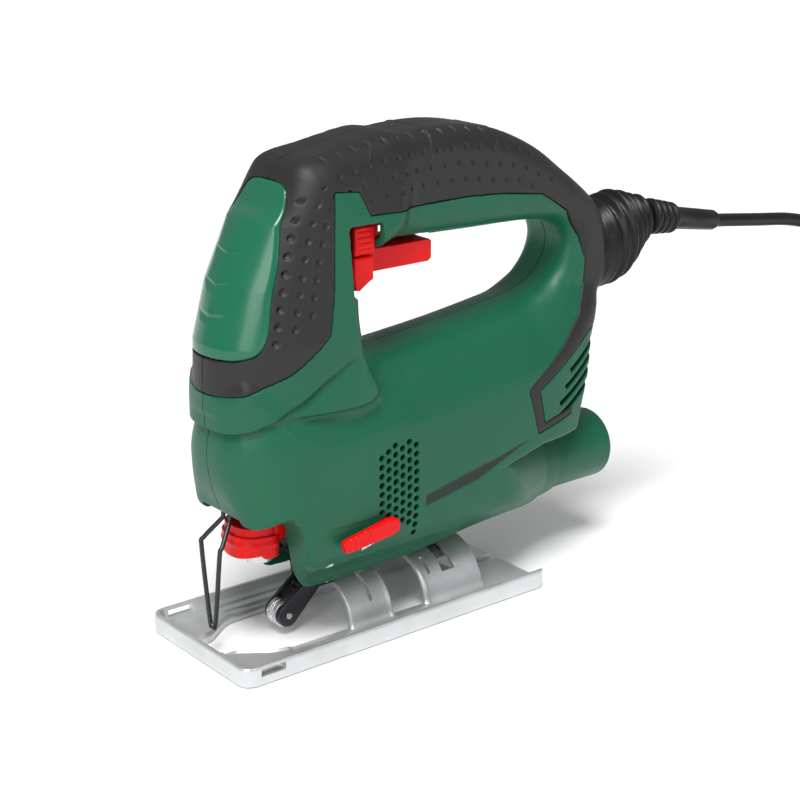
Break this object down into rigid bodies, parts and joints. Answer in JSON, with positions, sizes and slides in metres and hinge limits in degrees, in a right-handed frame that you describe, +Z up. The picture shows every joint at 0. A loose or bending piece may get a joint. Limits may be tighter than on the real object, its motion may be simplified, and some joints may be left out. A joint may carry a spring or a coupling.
{
  "type": "corded jigsaw",
  "caption": "Corded jigsaw with a loop handle, tool-free blade clamp, guide roller, tilting pressed base plate, dust tube and a coiled mains cord.",
  "frame": {"origin": "under the middle of the tool's length, measured from the base plate's front edge to the end of the dust tube, on the sole's plane and the tool's centre plane; the cord isn't counted", "axes": "+X backwards, from the nose to the handle's back and the cord; +Y to the tool's right-hand side as seen by its user facing the cut (-X is the cutting direction); +Z up, away from the sole"},
  "size_m": [0.5253, 0.0843, 0.1922],
  "materials": {
    "green_plastic": "fine satin grain",
    "green_gloss_plastic": "polished",
    "soft_grip": "matt soft-touch with small dimples",
    "black_rubber": "matt",
    "black_plastic": "fine grain",
    "red_plastic": "satin",
    "plate_steel": "pressed and zinc plated",
    "black_steel": "black oxide",
    "steel": "ground",
    "lamination": "varnished stack",
    "magnesium": "cast",
    "copper": "varnished wire and bar",
    "bronze": "sintered",
    "carbon": "pressed carbon"
  },
  "bodies": {
    "base": {"base_plate": "plate_steel", "cord": "black_rubber", "cord_coil": "black_rubber", "coil_tie": "black_plastic", "mains_plug": "black_rubber", "plug_pin_left": "steel", "plug_pin_right": "steel"},
    "housing": {"housing_left": "green_plastic", "housing_right": "green_plastic", "soft_grip_left": "soft_grip", "soft_grip_right": "soft_grip", "front_cover": "green_gloss_plastic", "housing_screw_1": "steel", "housing_screw_2": "steel", "housing_screw_3": "steel", "housing_screw_4": "steel", "housing_screw_5": "steel", "housing_screw_6": "steel", "clamp_shoe": "steel", "clamp_screw": "black_steel", "field_stator": "lamination", "bearing_front": "steel", "bearing_back": "steel", "brush_holder_left": "black_plastic", "brush_holder_right": "black_plastic", "carbon_brush_left": "carbon", "carbon_brush_right": "carbon", "gear_bracket": "magnesium", "gear_axle": "steel", "upper_bush": "bronze", "lower_bush": "bronze", "release_lever_pin": "steel", "guide_block": "black_plastic", "fork_pin": "steel", "wire_guard": "black_steel", "guard_holder": "black_plastic", "switch_module": "black_plastic", "dust_tube": "green_plastic", "cord_boot": "black_rubber", "cord_sleeve": "black_rubber"},
    "trigger": {"switch_trigger": "red_plastic"},
    "lock_button": {"lock_button": "red_plastic"},
    "orbital_lever": {"orbital_lever": "red_plastic"},
    "release_lever": {"blade_release_lever": "red_plastic"},
    "plunger": {"plunger_rod": "steel", "plunger_yoke": "steel", "blade_clamp": "steel"},
    "fork": {"roller_fork": "black_steel", "roller_pin": "steel"},
    "roller": {"guide_roller": "steel"},
    "armature": {"armature_shaft": "steel", "drive_pinion": "steel", "cooling_fan": "black_plastic", "armature_core": "lamination", "winding_front": "copper", "winding_back": "copper", "commutator": "copper"},
    "gear": {"drive_gear": "steel", "crank_pin": "steel"}
  },
  "joints": [
    {"name": "bevel_tilt", "type": "hinge", "parent": "base", "child": "housing", "pos_m": [0.00465, 0, 0], "axis": [1, 0, 0], "range_deg": [-45, 45]},
    {"name": "trigger_squeeze", "type": "hinge", "parent": "housing", "child": "trigger", "pos_m": [-0.03585, 0, 0.149], "axis": [0, 1, 0], "range_deg": [-3.5, 0], "stiffness_Nm_per_rad": 6, "springref_deg": 2.86},
    {"name": "lock_push", "type": "slide", "parent": "housing", "child": "lock_button", "axis": [0, 1, 0], "range_m": [0, 0.0025], "stiffness_N_per_m": 600, "springref_m": -0.0008},
    {"name": "orbital_select", "type": "hinge", "parent": "housing", "child": "orbital_lever", "pos_m": [-0.03285, -0.03, 0.046], "axis": [0, 1, 0], "range_deg": [0, 60]},
    {"name": "blade_release", "type": "hinge", "parent": "housing", "child": "release_lever", "pos_m": [-0.06365, 0, 0.0485], "axis": [0, 1, 0], "range_deg": [0, 12], "stiffness_Nm_per_rad": 0.6, "springref_deg": -11.46},
    {"name": "plunger_stroke", "type": "slide", "parent": "housing", "child": "plunger", "axis": [0, 0, 1], "range_m": [0, 0.02]},
    {"name": "fork_swing", "type": "hinge", "parent": "housing", "child": "fork", "pos_m": [-0.04735, 0, 0.021], "axis": [0, 1, 0], "range_deg": [0, 8]},
    {"name": "roller_spin", "type": "hinge", "parent": "fork", "child": "roller", "pos_m": [-0.06235, 0, 0.008], "axis": [0, 1, 0], "continuous": true},
    {"name": "armature_spin", "type": "hinge", "parent": "housing", "child": "armature", "pos_m": [-0.02685, 0, 0.076], "axis": [1, 0, 0], "continuous": true},
    {"name": "gear_spin", "type": "hinge", "parent": "housing", "child": "gear", "pos_m": [-0.04685, 0, 0.103], "axis": [1, 0, 0], "continuous": true}
  ],
  "couplings": [
    {"joint": "gear_spin", "follows": "armature_spin", "ratio": -0.2}
  ]
}
